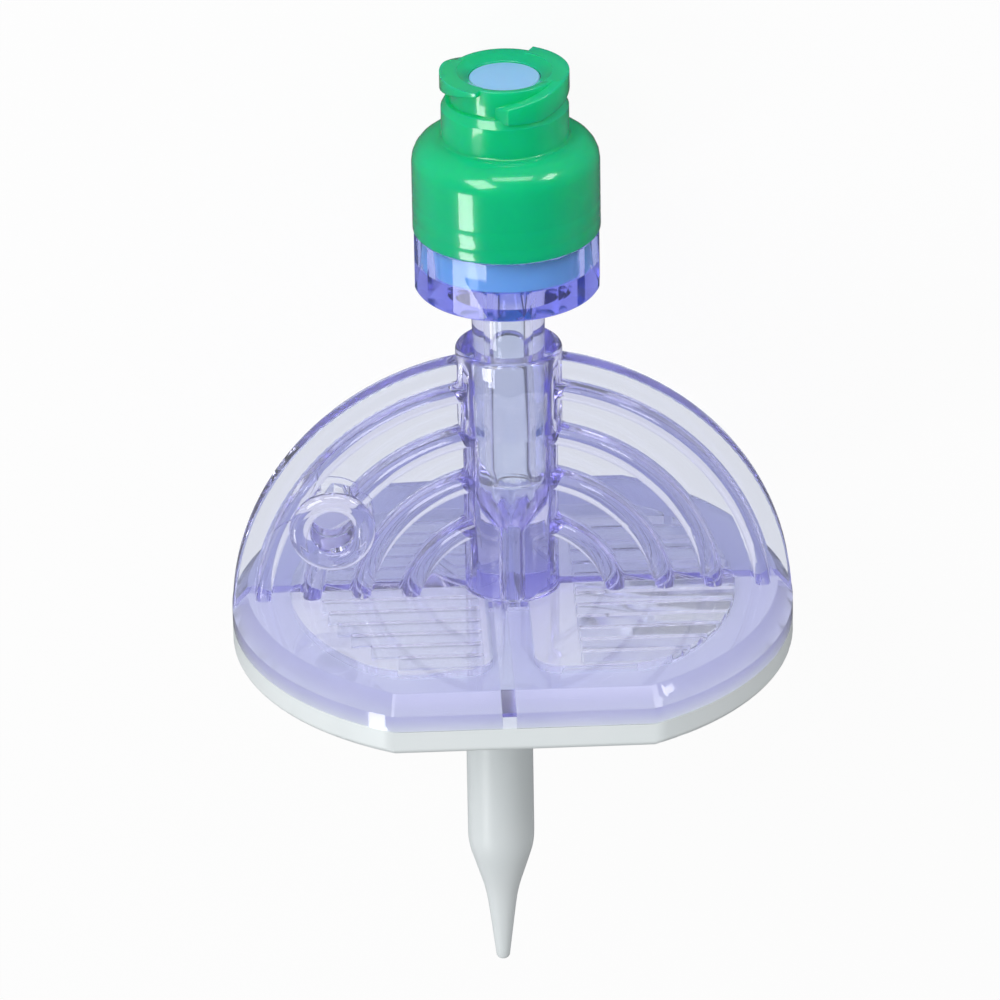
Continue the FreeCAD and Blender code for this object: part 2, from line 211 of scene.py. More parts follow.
@dataclass(frozen=True)
class Finish:
    """What every finish has: two colours that the mottle blends, a roughness range and bump.

    Above the zone, the upper colour and roughness take over. A zone of no height leaves them out.
    """

    name: str
    colour: Colour
    colour_far: Colour
    roughness: Tuple[float, float]
    wave_scale: float = 300.0
    grain_scale: float = 4000.0
    grain_share: float = 0.3
    bump_strength: float = 0.1
    bump_distance: float = 0.02 * MM
    zone: Tuple[float, float] = (0.0, 0.0)
    upper_colour: Colour = (1.0, 1.0, 1.0)
    upper_roughness: float = 0.0

    def shader(self, material: bpy.types.Material) -> bpy.types.Node:
        """Build the Principled shader that all finishes share.

        Args:
            material: The new material, with an empty node tree.

        Returns:
            The Principled BSDF node, wired for colour, roughness and normal.
        """
        links = material.node_tree.links
        shader = node_of(material, "ShaderNodeBsdfPrincipled", (0, 0))
        grain = node_of(material, "ShaderNodeGroup", (-700, 0))
        grain.node_tree = SurfaceGrain.group()
        grain.inputs["Wave Scale"].default_value = self.wave_scale
        grain.inputs["Grain Scale"].default_value = self.grain_scale
        grain.inputs["Grain Share"].default_value = self.grain_share
        blend = node_of(material, "ShaderNodeMix", (-400, 200))
        blend.data_type = "RGBA"
        blend.inputs["A"].default_value = (*self.colour, 1.0)
        blend.inputs["B"].default_value = (*self.colour_far, 1.0)
        rough = node_of(material, "ShaderNodeMapRange", (-400, -50))
        rough.inputs["To Min"].default_value = self.roughness[0]
        rough.inputs["To Max"].default_value = self.roughness[1]
        links.new(grain.outputs["Mottle"], blend.inputs["Factor"])
        links.new(grain.outputs["Height"], rough.inputs["Value"])
        if self.bump_strength > 0.0:
            bump = node_of(material, "ShaderNodeBump", (-400, -300))
            bump.inputs["Strength"].default_value = self.bump_strength
            bump.inputs["Distance"].default_value = self.bump_distance
            links.new(grain.outputs["Height"], bump.inputs["Height"])
            links.new(bump.outputs["Normal"], shader.inputs["Normal"])
        colour, roughness = blend.outputs["Result"], rough.outputs["Result"]
        if self.zone[1] > self.zone[0]:
            colour, roughness = self.zoned(material, colour, roughness)
        links.new(colour, shader.inputs["Base Color"])
        links.new(roughness, shader.inputs["Roughness"])
        return shader

    def zoned(self, material: bpy.types.Material, colour: bpy.types.NodeSocket,
              roughness: bpy.types.NodeSocket) -> Tuple[bpy.types.NodeSocket, bpy.types.NodeSocket]:
        """Let the upper colour and roughness take over above the zone.

        Args:
            material: The material being built.
            colour: The lower colour.
            roughness: The lower roughness.

        Returns:
            The colour and roughness for the whole piece.
        """
        links = material.node_tree.links
        zone = node_of(material, "ShaderNodeGroup", (-700, 300))
        zone.node_tree = HeightZone.group()
        zone.inputs["Low"].default_value = self.zone[0]
        zone.inputs["High"].default_value = self.zone[1]
        tint = node_of(material, "ShaderNodeMix", (-200, 200))
        tint.data_type = "RGBA"
        tint.inputs["B"].default_value = (*self.upper_colour, 1.0)
        polish = node_of(material, "ShaderNodeMix", (-200, -50))
        polish.inputs["B"].default_value = self.upper_roughness
        for mix, lower in ((tint, colour), (polish, roughness)):
            links.new(zone.outputs["Upper"], mix.inputs["Factor"])
            links.new(lower, mix.inputs["A"])
        return tint.outputs["Result"], polish.outputs["Result"]

    def build(self) -> bpy.types.Material:
        """Make the material.

        Returns:
            The finished material.
        """
        material = bpy.data.materials.new(self.name)
        material.use_nodes = True
        material.node_tree.nodes.clear()
        shader = self.shader(material)
        output = node_of(material, "ShaderNodeOutputMaterial", (500, 0))
        self.finish_surface(material, shader, output)
        return material

    def finish_surface(self, material: bpy.types.Material, shader: bpy.types.Node,
                       output: bpy.types.Node) -> None:
        """Wire the shader to the output.

        Args:
            material: The material being built.
            shader: Its Principled BSDF.
            output: Its output node.
        """
        material.node_tree.links.new(shader.outputs["BSDF"], output.inputs["Surface"])


@dataclass(frozen=True)
class OpaquePlastic(Finish):
    """Satin plastic, silicone or membrane, with some light inside it where scatter is set."""

    scatter: float = 0.0
    scatter_scale: float = 0.6 * MM
    ior: float = 1.46

    def finish_surface(self, material: bpy.types.Material, shader: bpy.types.Node,
                       output: bpy.types.Node) -> None:
        """Set the scatter and wire the shader to the output.

        Args:
            material: The material being built.
            shader: Its Principled BSDF.
            output: Its output node.
        """
        shader.inputs["Subsurface Weight"].default_value = self.scatter
        shader.inputs["Subsurface Scale"].default_value = self.scatter_scale
        shader.inputs["IOR"].default_value = self.ior
        super().finish_surface(material, shader, output)


@dataclass(frozen=True)
class ClearPlastic(Finish):
    """Polished clear plastic whose tint deepens along its edges, by absorption.

    Lamps, diffuse rays and rays past the ray limit go straight through it.
    """

    ior: float = 1.5
    absorbed: Colour = (0.42, 0.36, 0.87)
    density: float = 138.0
    lamp_tint: Colour = (0.985, 0.985, 0.995)
    coat: float = 0.0
    ray_limit: float = 5.5
    clearness: float = 0.94

    def finish_surface(self, material: bpy.types.Material, shader: bpy.types.Node,
                       output: bpy.types.Node) -> None:
        """Make the shader glass that lets lamps through, with a tinted inside.

        Args:
            material: The material being built.
            shader: Its Principled BSDF.
            output: Its output node.
        """
        links = material.node_tree.links
        shader.inputs["Transmission Weight"].default_value = self.clearness
        shader.inputs["Coat Weight"].default_value = self.coat
        shader.inputs["IOR"].default_value = self.ior
        path = node_of(material, "ShaderNodeLightPath", (-400, 400))
        deep = node_of(material, "ShaderNodeMath", (-200, 500))
        deep.operation = "GREATER_THAN"
        deep.inputs[1].default_value = self.ray_limit
        soft = node_of(material, "ShaderNodeMath", (-200, 350))
        soft.operation = "MAXIMUM"
        straight = node_of(material, "ShaderNodeMath", (0, 400))
        straight.operation = "MAXIMUM"
        clear = node_of(material, "ShaderNodeBsdfTransparent", (0, 150))
        clear.inputs["Color"].default_value = (*self.lamp_tint, 1.0)
        either = node_of(material, "ShaderNodeMixShader", (300, 100))
        inside = node_of(material, "ShaderNodeVolumeAbsorption", (200, -300))
        inside.inputs["Color"].default_value = (*self.absorbed, 1.0)
        inside.inputs["Density"].default_value = self.density
        links.new(path.outputs["Is Shadow Ray"], soft.inputs[0])
        links.new(path.outputs["Is Diffuse Ray"], soft.inputs[1])
        links.new(path.outputs["Ray Depth"], deep.inputs[0])
        links.new(soft.outputs["Value"], straight.inputs[0])
        links.new(deep.outputs["Value"], straight.inputs[1])
        links.new(straight.outputs["Value"], either.inputs[0])
        links.new(shader.outputs["BSDF"], either.inputs[1])
        links.new(clear.outputs["BSDF"], either.inputs[2])
        links.new(either.outputs["Shader"], output.inputs["Surface"])
        links.new(inside.outputs["Volume"], output.inputs["Volume"])


@dataclass(frozen=True)
class TranslucentPlastic(Finish):
    """Glossy coloured plastic that glows where light gets through it."""

    scatter: float = 0.8
    scatter_scale: float = 2.0 * MM
    scatter_radius: Colour = (0.1, 1.0, 0.4)
    transmission: float = 0.35
    ior: float = 1.5
    coat: float = 1.0
    coat_roughness: float = 0.03

    def finish_surface(self, material: bpy.types.Material, shader: bpy.types.Node,
                       output: bpy.types.Node) -> None:
        """Set the scatter, the see-through share and the gloss.

        Args:
            material: The material being built.
            shader: Its Principled BSDF.
            output: Its output node.
        """
        shader.inputs["Subsurface Weight"].default_value = self.scatter
        shader.inputs["Subsurface Scale"].default_value = self.scatter_scale
        shader.inputs["Subsurface Radius"].default_value = self.scatter_radius
        shader.inputs["Transmission Weight"].default_value = self.transmission
        shader.inputs["IOR"].default_value = self.ior
        shader.inputs["Coat Weight"].default_value = self.coat
        shader.inputs["Coat Roughness"].default_value = self.coat_roughness
        super().finish_surface(material, shader, output)


WHITE_PLASTIC = OpaquePlastic(
    name="white_satin_plastic",
    colour=(0.84, 0.885, 0.90),
    colour_far=(0.80, 0.86, 0.875),
    roughness=(0.30, 0.42),
)
LILAC_PLASTIC = ClearPlastic(
    name="clear_lilac_plastic",
    colour=(0.96, 0.985, 0.99),
    colour_far=(0.93, 0.955, 0.97),
    roughness=(0.07, 0.11),
    bump_strength=0.0,
    zone=(-0.2, 0.1),
    upper_colour=(0.94, 0.985, 0.985),
    upper_roughness=0.015,
    coat=0.6,
)
VIOLET_PLASTIC = ClearPlastic(
    name="clear_violet_plastic",
    colour=(0.94, 0.985, 0.99),
    colour_far=(0.91, 0.965, 0.97),
    roughness=(0.0, 0.04),
    bump_strength=0.0,
    zone=(19.9, 20.3),
    upper_colour=(0.52, 0.60, 1.0),
    upper_roughness=0.06,
    absorbed=(0.44, 0.38, 0.93),
    density=130.0,
)
MEMBRANE = OpaquePlastic(
    name="filter_membrane_weave",
    colour=(0.88, 0.89, 0.91),
    colour_far=(0.83, 0.84, 0.87),
    roughness=(0.75, 0.95),
    grain_share=0.8,
    bump_strength=0.3,
)
BLUE_SILICONE = OpaquePlastic(
    name="light_blue_silicone",
    colour=(0.27, 0.74, 0.98),
    colour_far=(0.30, 0.78, 1.0),
    roughness=(0.35, 0.5),
    zone=(29.0, 33.0),
    upper_colour=(0.30, 0.57, 0.90),
    upper_roughness=0.45,
    scatter=0.3,
    scatter_scale=1.0 * MM,
)
GREEN_PLASTIC = TranslucentPlastic(
    name="green_translucent_plastic",
    colour=(0.003, 0.82, 0.34),
    colour_far=(0.006, 0.92, 0.40),
    roughness=(0.20, 0.28),
    bump_strength=0.03,
)


@dataclass(frozen=True)
class Softbox:
    """One rectangular studio lamp, placed by its direction from the part in the upright frame.

    Its size and distance are in metres, and its aim is in upright millimetres.
    """

    name: str
    direction: Tuple[float, float, float]
    size: Tuple[float, float]
    radiance: float
    distance: float = 0.45
    aim: Tuple[float, float, float] = (0.0, 0.0, 10.0)

    def build(self) -> None:
        """Add the lamp, facing the part."""
        data = bpy.data.lights.new(self.name, "AREA")
        data.shape = "RECTANGLE"
        data.size, data.size_y = self.size
        data.energy = self.radiance * math.pi * self.size[0] * self.size[1]
        lamp = bpy.data.objects.new(self.name, data)
        bpy.context.scene.collection.objects.link(lamp)
        target = UPRIGHT.place(self.aim)
        heading = UPRIGHT.heading(self.direction)
        lamp.location = target + heading * self.distance
        lamp.rotation_euler = heading.to_track_quat("Z", "Y").to_euler()


@dataclass
class Studio:
    """Camera, lamps, world and floor.

    The camera's place is in upright millimetres, and the floor's sizes are in metres. Glossy rays
    see a floor and a world darkened to the mirrored share. Past the table's reach, clear pieces
    see a dimmer floor.
    """

    elevation: float = 26.7
    azimuth: float = -2.2
    roll: float = -0.95
    distance: float = 500.0
    focal_pixels: float = 8100.0
    target: Tuple[float, float, float] = (-0.681, 0.0, 5.541)
    image_width: float = 1000.0
    sensor: float = 36.0
    near: float = 0.01
    floor_size: float = 6.0
    ambient: float = 0.38
    floor_glow: float = 0.94
    floor_white: float = 0.9
    table_reach: Tuple[float, float] = (0.08, 0.22)
    table_beyond: float = 0.12
    mirrored: float = 0.2
    far_side: Colour = (0.75, 0.78, 0.8)
    dim_side: Colour = (0.04, 0.06, 0.12)
    dim_toward: Tuple[float, float, float] = (0.0, -1.0, -0.1)
    dim_from: float = 0.1
    dim_to: float = 0.7
    bounces: int = 10
    transparent_bounces: int = 14
    softboxes: List[Softbox] = field(default_factory=lambda: [
        Softbox("window_softbox", direction=(-0.713, -0.538, -0.449), size=(0.14, 0.14), radiance=7.0),
        Softbox("key_softbox", direction=(-0.50, -0.70, 0.50), size=(0.20, 0.26), radiance=5.0),
        Softbox("right_strip", direction=(0.80, -0.45, 0.75), size=(0.10, 0.14), radiance=6.0),
        Softbox("top_softbox", direction=(0.10, -0.60, 1.0), size=(0.30, 0.12), radiance=3.2),
    ])

    def camera(self) -> None:
        """Add the camera at the photograph's viewing angle."""
        elevation = math.radians(self.elevation)
        azimuth = math.radians(self.azimuth)
        roll = math.radians(self.roll)
        toward = Vector((
            math.sin(azimuth) * math.cos(elevation),
            -math.cos(azimuth) * math.cos(elevation),
            math.sin(elevation),
        ))
        right = Vector((math.cos(azimuth), math.sin(azimuth), 0.0))
        up = toward.cross(right)
        rolled_right = right * math.cos(roll) + up * math.sin(roll)
        rolled_up = up * math.cos(roll) - right * math.sin(roll)
        data = bpy.data.cameras.new("photo_camera")
        data.sensor_width = self.sensor
        data.lens = self.focal_pixels / self.image_width * self.sensor
        data.clip_start = self.near
        camera = bpy.data.objects.new("photo_camera", data)
        bpy.context.scene.collection.objects.link(camera)
        axes = [UPRIGHT.heading(axis) for axis in (rolled_right, rolled_up, toward)]
        matrix = Matrix(axes).transposed().to_4x4()
        matrix.translation = UPRIGHT.place(Vector(self.target) + toward * self.distance)
        camera.matrix_world = matrix
        bpy.context.scene.camera = camera

    def world(self) -> None:
        """Add white surroundings, dimmer before the part's front so that clear edges show."""
        world = bpy.data.worlds.new("studio_world")
        bpy.context.scene.world = world
        world.use_nodes = True
        nodes, links = world.node_tree.nodes, world.node_tree.links
        nodes.clear()
        path = nodes.new("ShaderNodeLightPath")
        coords = nodes.new("ShaderNodeTexCoord")
        facing = nodes.new("ShaderNodeVectorMath")
        facing.operation = "DOT_PRODUCT"
        facing.inputs[1].default_value = UPRIGHT.heading(self.dim_toward)
        side = nodes.new("ShaderNodeMapRange")
        side.inputs["From Min"].default_value = self.dim_from
        side.inputs["From Max"].default_value = self.dim_to
        around = nodes.new("ShaderNodeMix")
        around.data_type = "RGBA"
        around.inputs["A"].default_value = (*self.far_side, 1.0)
        around.inputs["B"].default_value = (*self.dim_side, 1.0)
        mirror = nodes.new("ShaderNodeMath")
        mirror.operation = "MULTIPLY_ADD"
        mirror.inputs[1].default_value = self.mirrored - 1.0
        mirror.inputs[2].default_value = 1.0
        sharp = nodes.new("ShaderNodeMath")
        sharp.operation = "MAXIMUM"
        seen = nodes.new("ShaderNodeMix")
        seen.data_type = "RGBA"
        seen.inputs["A"].default_value = (self.ambient,) * 3 + (1.0,)
        camera_white = nodes.new("ShaderNodeMix")
        camera_white.data_type = "RGBA"
        camera_white.inputs["B"].default_value = (1.0, 1.0, 1.0, 1.0)
        background = nodes.new("ShaderNodeBackground")
        output = nodes.new("ShaderNodeOutputWorld")
        links.new(coords.outputs["Generated"], facing.inputs[0])
        links.new(facing.outputs["Value"], side.inputs["Value"])
        links.new(side.outputs["Result"], around.inputs["Factor"])
        links.new(path.outputs["Is Glossy Ray"], sharp.inputs[0])
        links.new(path.outputs["Is Transmission Ray"], sharp.inputs[1])
        links.new(sharp.outputs["Value"], seen.inputs["Factor"])
        links.new(around.outputs["Result"], seen.inputs["B"])
        links.new(path.outputs["Is Camera Ray"], camera_white.inputs["Factor"])
        links.new(seen.outputs["Result"], camera_white.inputs["A"])
        links.new(path.outputs["Is Glossy Ray"], mirror.inputs[0])
        links.new(camera_white.outputs["Result"], background.inputs["Color"])
        links.new(mirror.outputs["Value"], background.inputs["Strength"])
        links.new(background.outputs["Background"], output.inputs["Surface"])

    def floor(self) -> None:
        """Add a plain floor that looks white, also through clear parts, and keeps a soft shadow."""
        bpy.ops.mesh.primitive_plane_add(size=self.floor_size, location=(0.0, 0.0, 0.0))
        floor = bpy.context.object
        floor.name = "studio_floor"
        material = bpy.data.materials.new("floor_white")
        material.use_nodes = True
        nodes, links = material.node_tree.nodes, material.node_tree.links
        nodes.clear()
        path = nodes.new("ShaderNodeLightPath")
        seen = nodes.new("ShaderNodeMath")
        seen.operation = "MAXIMUM"
        share = nodes.new("ShaderNodeMath")
        share.operation = "MULTIPLY"
        share.inputs[1].default_value = self.floor_glow
        shade = nodes.new("ShaderNodeMath")
        shade.operation = "MULTIPLY_ADD"
        shade.inputs[1].default_value = self.mirrored - self.floor_white
        shade.inputs[2].default_value = self.floor_white
        matt = nodes.new("ShaderNodeBsdfDiffuse")
        coords = nodes.new("ShaderNodeTexCoord")
        reach = nodes.new("ShaderNodeVectorMath")
        reach.operation = "LENGTH"
        table = nodes.new("ShaderNodeMapRange")
        table.inputs["From Min"].default_value = self.table_reach[0]
        table.inputs["From Max"].default_value = self.table_reach[1]
        table.inputs["To Min"].default_value = 1.0
        table.inputs["To Max"].default_value = self.table_beyond
        lit = nodes.new("ShaderNodeMath")
        lit.operation = "MAXIMUM"
        white = nodes.new("ShaderNodeEmission")
        mix = nodes.new("ShaderNodeMixShader")
        output = nodes.new("ShaderNodeOutputMaterial")
        links.new(path.outputs["Is Transmission Ray"], seen.inputs[0])
        links.new(path.outputs["Is Camera Ray"], seen.inputs[1])
        links.new(seen.outputs["Value"], share.inputs[0])
        links.new(coords.outputs["Object"], reach.inputs[0])
        links.new(reach.outputs["Value"], table.inputs["Value"])
        links.new(table.outputs["Result"], lit.inputs[0])
        links.new(path.outputs["Is Camera Ray"], lit.inputs[1])
        links.new(lit.outputs["Value"], white.inputs["Strength"])
        links.new(path.outputs["Is Glossy Ray"], shade.inputs[0])
        links.new(shade.outputs["Value"], matt.inputs["Color"])
        links.new(share.outputs["Value"], mix.inputs["Fac"])
        links.new(matt.outputs["BSDF"], mix.inputs[1])
        links.new(white.outputs["Emission"], mix.inputs[2])
        links.new(mix.outputs["Shader"], output.inputs["Surface"])
        floor.data.materials.append(material)

    def build(self) -> None:
        """Set up everything that isn't the part."""
        scene = bpy.context.scene
        scene.view_settings.view_transform = "Standard"
        scene.cycles.caustics_refractive = False
        scene.cycles.caustics_reflective = False
        scene.cycles.max_bounces = self.bounces
        scene.cycles.transmission_bounces = self.bounces
        scene.cycles.glossy_bounces = self.bounces
        scene.cycles.transparent_max_bounces = self.transparent_bounces
        self.camera()
        self.world()
        self.floor()
        for softbox in self.softboxes:
            softbox.build()


class Bench:
    """The modelling steps that several pieces share, on upright millimetres."""

    MERGE_DISTANCE = 0.0005
    FLAT_ANGLE = 0.05
    AREA_WEIGHT = 50

    @staticmethod
    def only(piece: bpy.types.Object) -> None:
        """Select one piece alone and make it active.

        Args:
            piece: The piece to work on.
        """
        bpy.ops.object.select_all(action="DESELECT")
        piece.select_set(True)
        bpy.context.view_layer.objects.active = piece

    @classmethod
    def outline(cls, name: str, corners: Sequence[Corner], segments: int = 6) -> bpy.types.Object:
        """Draw a closed outline in the XZ plane by extruding one vertex from corner to corner.

        Args:
            name: The new piece's name.
            corners: The section's corners, in order.
            segments: The steps of each rounding.

        Returns:
            A mesh of edges only.
        """
        bpy.ops.object.select_all(action="DESELECT")
        bpy.ops.mesh.primitive_plane_add(size=1.0, location=(0.0, 0.0, 0.0))
        piece = bpy.context.object
        piece.name = name
        bpy.ops.object.mode_set(mode="EDIT")
        bpy.ops.mesh.select_all(action="SELECT")
        bpy.ops.mesh.merge(type="CENTER")
        bpy.ops.transform.translate(value=(corners[0].radius, 0.0, corners[0].height))
        for before, corner in zip(corners, corners[1:]):
            step = (corner.radius - before.radius, 0.0, corner.height - before.height)
            bpy.ops.mesh.extrude_vertices_move(TRANSFORM_OT_translate={"value": step})
        cls.select_at(piece, [corners[0], corners[-1]])
        bpy.ops.mesh.edge_face_add()
        for index, corner in enumerate(corners):
            if corner.rounding > 0.0:
                cls.select_at(piece, [corner])
                before, after = corners[index - 1], corners[(index + 1) % len(corners)]
                reach = cls.tangent_length(before, corner, after)
                bpy.ops.mesh.bevel(offset=reach, offset_type="OFFSET", segments=segments,
                                   affect="VERTICES", clamp_overlap=False)
        bpy.ops.object.mode_set(mode="OBJECT")
        return piece

    @staticmethod
    def tangent_length(before: Corner, corner: Corner, after: Corner) -> float:
        """How far from the corner its rounding arc begins.

        Args:
            before: The corner before it.
            corner: The corner that is rounded.
            after: The corner after it.

        Returns:
            The distance along both sides.
        """
        here = Vector((corner.radius, corner.height))
        to_before = Vector((before.radius, before.height)) - here
        to_after = Vector((after.radius, after.height)) - here
        return corner.rounding / math.tan(to_before.angle(to_after) / 2.0)

    @staticmethod
    def select_at(piece: bpy.types.Object, corners: Sequence[Corner], reach: float = 1e-4) -> None:
        """Select the vertices of a piece in edit mode that lie at given corners of an outline.

        Args:
            piece: The piece, in edit mode.
            corners: The corners to select at.
            reach: How far from a corner a vertex may lie.
        """
        bpy.ops.mesh.select_all(action="DESELECT")
        mesh = bmesh.from_edit_mesh(piece.data)
        for vertex in mesh.verts:
            x, z = vertex.co.x, vertex.co.z
            if any(math.hypot(x - corner.radius, z - corner.height) < reach for corner in corners):
                vertex.select_set(True)
        mesh.select_flush(True)
        bmesh.update_edit_mesh(piece.data)

    @classmethod
    def spun(cls, name: str, corners: Sequence[Corner], steps: int = 128) -> bpy.types.Object:
        """Turn a closed outline round the upright axis.

        Args:
            name: The new piece's name.
            corners: The section's corners, in order.
            steps: The steps of the full turn.

        Returns:
            A closed mesh.
        """
        piece = cls.outline(name, corners)
        bpy.ops.object.mode_set(mode="EDIT")
        bpy.ops.mesh.select_all(action="SELECT")
        bpy.ops.mesh.spin(steps=steps, angle=2.0 * math.pi, center=(0.0, 0.0, 0.0),
                          axis=(0.0, 0.0, 1.0))
        bpy.ops.mesh.select_all(action="SELECT")
        bpy.ops.mesh.remove_doubles(threshold=cls.MERGE_DISTANCE)
        bpy.ops.mesh.normals_make_consistent(inside=False)
        bpy.ops.object.mode_set(mode="OBJECT")
        return piece

    @classmethod
    def combine(cls, piece: bpy.types.Object, tool: bpy.types.Object, operation: str) -> None:
        """Join, cut or intersect a piece with a tool, and remove the tool.

        Args:
            piece: The piece that is changed.
            tool: The other solid.
            operation: UNION, DIFFERENCE or INTERSECT.
        """
        cls.only(piece)
        modifier = piece.modifiers.new("shape", "BOOLEAN")
        modifier.operation = operation
        modifier.solver = "EXACT"
        modifier.object = tool
        bpy.ops.object.modifier_apply(modifier=modifier.name)
        bpy.data.objects.remove(tool, do_unlink=True)

    @classmethod
    def smooth(cls, piece: bpy.types.Object, smoothing: Smoothing) -> None:
        """Shade smooth up to an angle, with normals that keep the large faces flat.

        Args:
            piece: The piece to shade.
            smoothing: The largest angle that still shades smooth.
        """
        cls.only(piece)
        bpy.ops.object.shade_smooth_by_angle(angle=math.radians(smoothing.value))
        modifier = piece.modifiers.new("flat_faces", "WEIGHTED_NORMAL")
        modifier.mode = "FACE_AREA"
        modifier.weight = cls.AREA_WEIGHT
        modifier.keep_sharp = True
        bpy.ops.object.modifier_apply(modifier=modifier.name)

    @classmethod
    def weld(cls, piece: bpy.types.Object, distance: float) -> None:
        """Join the loose triangles of a copied node into one skin of whole flat faces.

        Args:
            piece: The copied node.
            distance: How near two vertices are joined, in the frame's metres.
        """
        cls.only(piece)
        bpy.ops.object.mode_set(mode="EDIT")
        bpy.ops.mesh.select_all(action="SELECT")
        bpy.ops.mesh.remove_doubles(threshold=distance)
        bpy.ops.mesh.dissolve_limited(angle_limit=math.radians(cls.FLAT_ANGLE))
        bpy.ops.object.mode_set(mode="OBJECT")


@dataclass
class Moulding:
    """A piece of the part: one node of the model, dressed in one finish."""

    node: str
    slot: str
    finish: Finish
    smoothing: Smoothing = Smoothing.CURVED

    def shape(self) -> bpy.types.Object:
        """Copy the node's mesh and weld it.

        Returns:
            The bare piece, in the frame's metres.
        """
        piece = frame["nodes"][self.node].copy()
        piece.data = piece.data.copy()
        # The copy is a piece of its own, so it drops the node's custom properties
        for key in list(piece.keys()):
            del piece[key]
        piece.parent = None
        bpy.context.scene.collection.objects.link(piece)
        Bench.weld(piece, Bench.MERGE_DISTANCE * MM)
        return piece

    def build(self) -> bpy.types.Object:
        """Shape the piece, smooth it and dress it.

        Returns:
            The finished piece.
        """
        piece = self.shape()
        piece.name = self.node + "_moulding"
        Bench.smooth(piece, self.smoothing)
        piece.data.materials.clear()
        piece.data.materials.append(self.finish.build())
        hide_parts(self.node)
        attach(piece, BODY)
        LOG.info("%s: %d faces", piece.name, len(piece.data.polygons))
        return piece


class Seat(NamedTuple):
    """A height at which a piece touches another, and how far its faces there are moved."""

    height: float
    lift: float


@dataclass
class SeatedMoulding(Moulding):
    """A clear piece with its seats moved a hair, down into what carries it."""

    seats: Tuple[Seat, ...] = ()
    reach: float = 0.003

    def shape(self) -> bpy.types.Object:
        """Copy the node and move its seats.

        Returns:
            The bare piece, in the frame's metres.
        """
        piece = super().shape()
        turn = UPRIGHT.turn()
        back = turn.inverted()
        for vertex in piece.data.vertices:
            point = back @ vertex.co
            for seat in self.seats:
                if abs(point.z - seat.height) < self.reach:
                    vertex.co = turn @ (point + Vector((0.0, 0.0, seat.lift)))
        return piece


